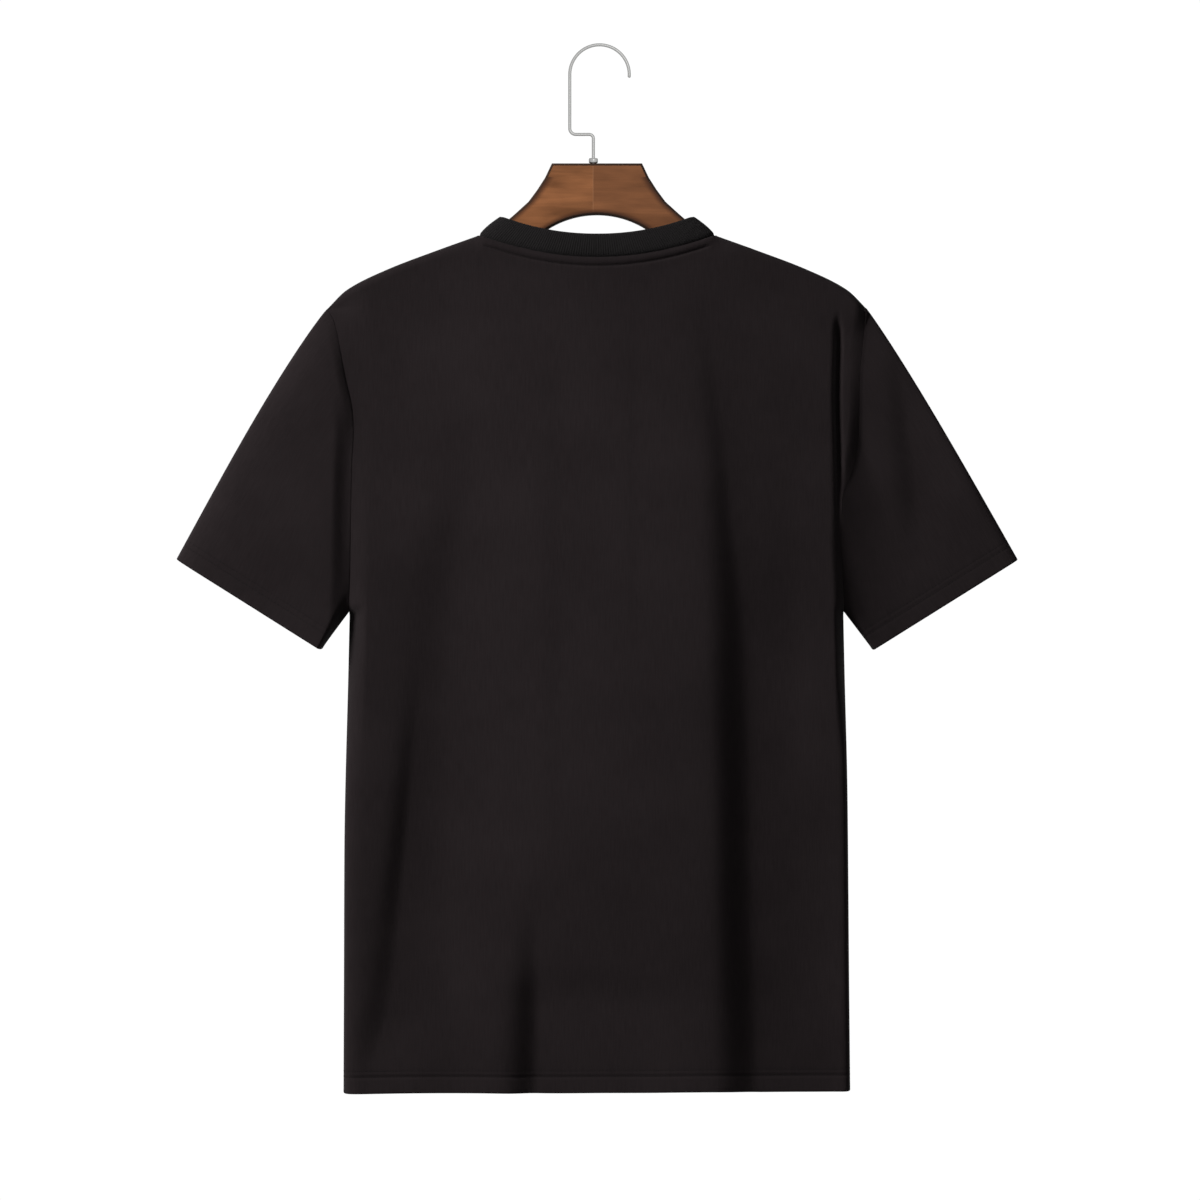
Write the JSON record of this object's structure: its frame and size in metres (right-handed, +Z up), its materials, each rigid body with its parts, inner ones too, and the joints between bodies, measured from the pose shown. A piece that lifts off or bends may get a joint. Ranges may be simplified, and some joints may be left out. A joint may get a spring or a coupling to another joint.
{
  "type": "crew neck t-shirt on a wooden hanger",
  "caption": "Plain black crew neck t-shirt with short sleeves, hanging nearly flat on a wooden hanger with a bent wire hook.",
  "frame": {"origin": "the inside of the hook's crown, where it rests on a rail, above the middle of the shirt", "axes": "+Z up; the shirt's back, the side that the picture shows, faces -Y and its front faces +Y; X runs across the shoulders"},
  "size_m": [0.696, 0.0822, 0.8702],
  "materials": {
    "cloth": "smooth fine jersey with a faint sheen",
    "rib": "fine rib knit, matt",
    "wood": "stained brown, satin varnish, darker softened edges",
    "wire": "bright steel wire"
  },
  "bodies": {
    "root": {"back_panel": "cloth", "front_panel": "cloth", "sleeve_left": "cloth", "sleeve_right": "cloth", "neck_band": "rib", "hanger_wood": "wood", "hanger_hook": "wire", "hook_ferrule": "wire"}
  },
  "joints": []
}
